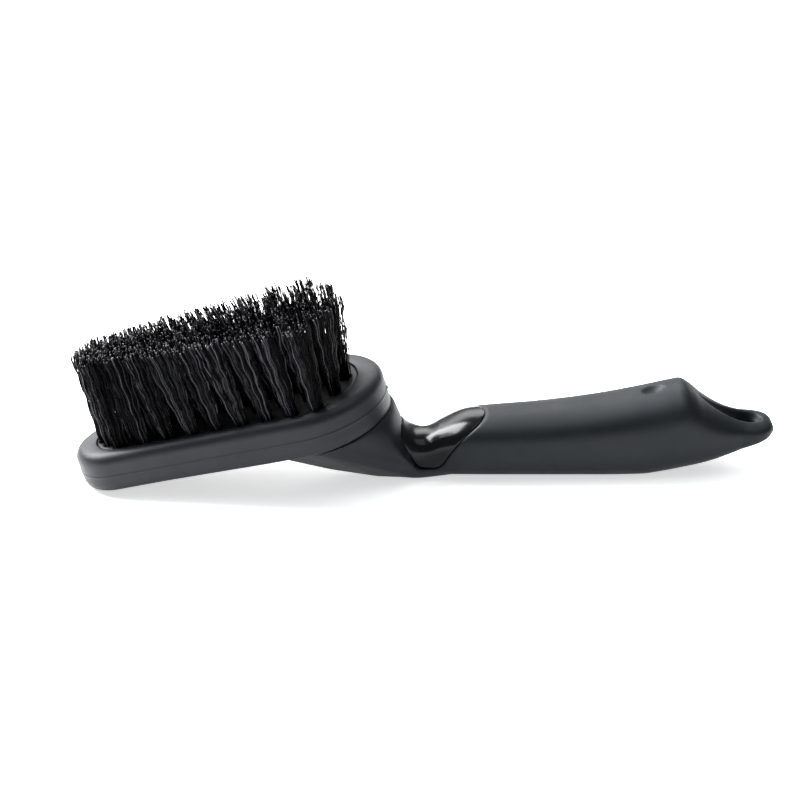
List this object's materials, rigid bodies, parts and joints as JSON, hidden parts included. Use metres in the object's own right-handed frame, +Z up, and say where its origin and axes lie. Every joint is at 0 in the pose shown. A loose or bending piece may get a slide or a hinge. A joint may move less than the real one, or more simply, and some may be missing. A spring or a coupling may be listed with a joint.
{
  "type": "wheel brush",
  "caption": "Short-handled wheel brush with a pitched egg-shaped head of upright bristle tufts, a soft bumper, a slim glossy waist and a thick soft-touch grip.",
  "frame": {"origin": "centre of the bounding box, at the level of the surface that the brush lies on", "axes": "+X from the head to the butt of the grip, +Z up, with the bristles upwards"},
  "size_m": [0.2528, 0.056, 0.0711],
  "materials": {
    "carrier": "moulded, satin",
    "bumper": "fine matte moulding",
    "bristle": "crimped filament, satin",
    "core": "polished mould, gloss",
    "grip": "soft-touch overmould, matte"
  },
  "bodies": {
    "root": {"head_block": "carrier", "head_bumper": "bumper", "handle_core": "core", "handle_overmould": "grip", "tuft_row1_01": "bristle", "tuft_row1_02": "bristle", "tuft_row1_03": "bristle", "tuft_row1_04": "bristle", "tuft_row1_05": "bristle", "tuft_row1_06": "bristle", "tuft_row1_07": "bristle", "tuft_row1_08": "bristle", "tuft_row1_09": "bristle", "tuft_row2_01": "bristle", "tuft_row2_02": "bristle", "tuft_row2_03": "bristle", "tuft_row2_04": "bristle", "tuft_row2_05": "bristle", "tuft_row2_06": "bristle", "tuft_row2_07": "bristle", "tuft_row2_08": "bristle", "tuft_row2_09": "bristle", "tuft_row2_10": "bristle", "tuft_row3_01": "bristle", "tuft_row3_02": "bristle", "tuft_row3_03": "bristle", "tuft_row3_04": "bristle", "tuft_row3_05": "bristle", "tuft_row3_06": "bristle", "tuft_row3_07": "bristle", "tuft_row3_08": "bristle", "tuft_row3_09": "bristle", "tuft_row3_10": "bristle", "tuft_row3_11": "bristle", "tuft_row4_01": "bristle", "tuft_row4_02": "bristle", "tuft_row4_03": "bristle", "tuft_row4_04": "bristle", "tuft_row4_05": "bristle", "tuft_row4_06": "bristle", "tuft_row4_07": "bristle", "tuft_row4_08": "bristle", "tuft_row4_09": "bristle", "tuft_row4_10": "bristle", "tuft_row5_01": "bristle", "tuft_row5_02": "bristle", "tuft_row5_03": "bristle", "tuft_row5_04": "bristle", "tuft_row5_05": "bristle", "tuft_row5_06": "bristle", "tuft_row5_07": "bristle", "tuft_row5_08": "bristle", "tuft_row5_09": "bristle"}
  },
  "joints": []
}
